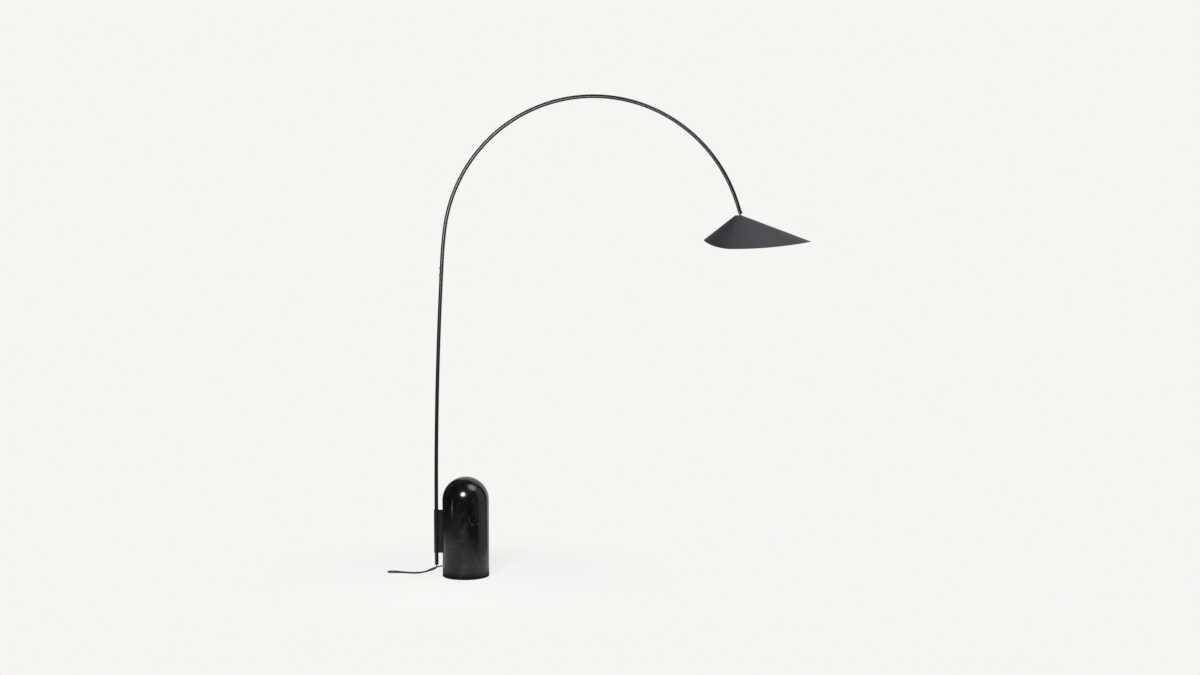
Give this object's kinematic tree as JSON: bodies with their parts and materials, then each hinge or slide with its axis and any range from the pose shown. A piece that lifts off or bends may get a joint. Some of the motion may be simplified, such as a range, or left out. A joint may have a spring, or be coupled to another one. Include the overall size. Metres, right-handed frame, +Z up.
{
  "type": "arc floor lamp",
  "caption": "Arc floor lamp: domed black marble base, side bracket with a swivelling arched pole, and a folded conical shade on a ball joint, with cord, foot switch and plug.",
  "frame": {"origin": "middle of the floor pad's underside, on the floor", "axes": "+Z up, +X from the base towards the shade, the arch in the XZ plane"},
  "size_m": [1.8231, 0.5159, 2.0545],
  "materials": {
    "marble": "polished black marble",
    "pad": "matte",
    "black_metal": "fine matte powder coat",
    "shade_metal": "matte black outside, white inside",
    "screw_steel": "blackened",
    "zinc_steel": "zinc plated",
    "brass": "turned",
    "bush_plastic": "matte",
    "holder_plastic": "matte",
    "holder_ceramic": "unglazed",
    "bulb_white": "gloss",
    "bulb_glass": "opal",
    "cord_cover": "matte",
    "plug_plastic": "matte",
    "pin_metal": "bright"
  },
  "bodies": {
    "base": {"marble_base": "marble", "floor_pad": "pad", "marble_anchors": "brass", "bracket_studs": "zinc_steel", "pole_bracket": "black_metal", "upper_bush": "bush_plastic", "lower_bush": "bush_plastic", "guide_screws": "screw_steel", "cord_run": "cord_cover", "cord_link": "cord_cover", "cord_tail": "cord_cover", "cord_coil": "cord_cover", "cord_tie": "plug_plastic", "switch_tray": "plug_plastic", "switch_lid": "plug_plastic", "switch_block": "bush_plastic", "switch_screws": "zinc_steel", "switch_boots": "plug_plastic", "plug_body": "plug_plastic", "plug_pins": "pin_metal"},
    "arm": {"lower_pole": "black_metal", "arch_tube": "black_metal", "joint_spigot": "zinc_steel", "joint_screws": "screw_steel", "inner_cable": "cord_cover", "cable_bush": "bush_plastic", "tip_ferrule": "black_metal", "tip_collar": "black_metal", "tip_screw": "screw_steel"},
    "lamp_stem": {"ball_stud": "black_metal", "seat_washer": "zinc_steel", "stem_nut": "zinc_steel", "holder_cap": "holder_plastic", "holder_core": "holder_ceramic", "holder_ring": "holder_plastic", "holder_contact": "brass", "bulb_cap": "zinc_steel", "bulb_contact": "brass", "bulb_body": "bulb_white", "bulb_globe": "bulb_glass"},
    "shade": {"shade_shell": "shade_metal"},
    "button": {"switch_button": "plug_plastic"}
  },
  "joints": [
    {"name": "arm_swivel", "type": "hinge", "parent": "base", "child": "arm", "pos_m": [-0.1295, 0, 0.19], "axis": [0, 0, 1], "range_deg": [-170, 170]},
    {"name": "shade_tilt", "type": "hinge", "parent": "arm", "child": "lamp_stem", "pos_m": [1.17296, 0, 1.56089], "axis": [0, 1, 0], "range_deg": [-40, 8]},
    {"name": "shade_turn", "type": "hinge", "parent": "lamp_stem", "child": "shade", "pos_m": [1.17296, 0, 1.56089], "axis": [0, 0, 1], "range_deg": [-170, 170]},
    {"name": "button_press", "type": "slide", "parent": "base", "child": "button", "axis": [0, 0, -1], "range_m": [0, 0.003], "stiffness_N_per_m": 800}
  ]
}
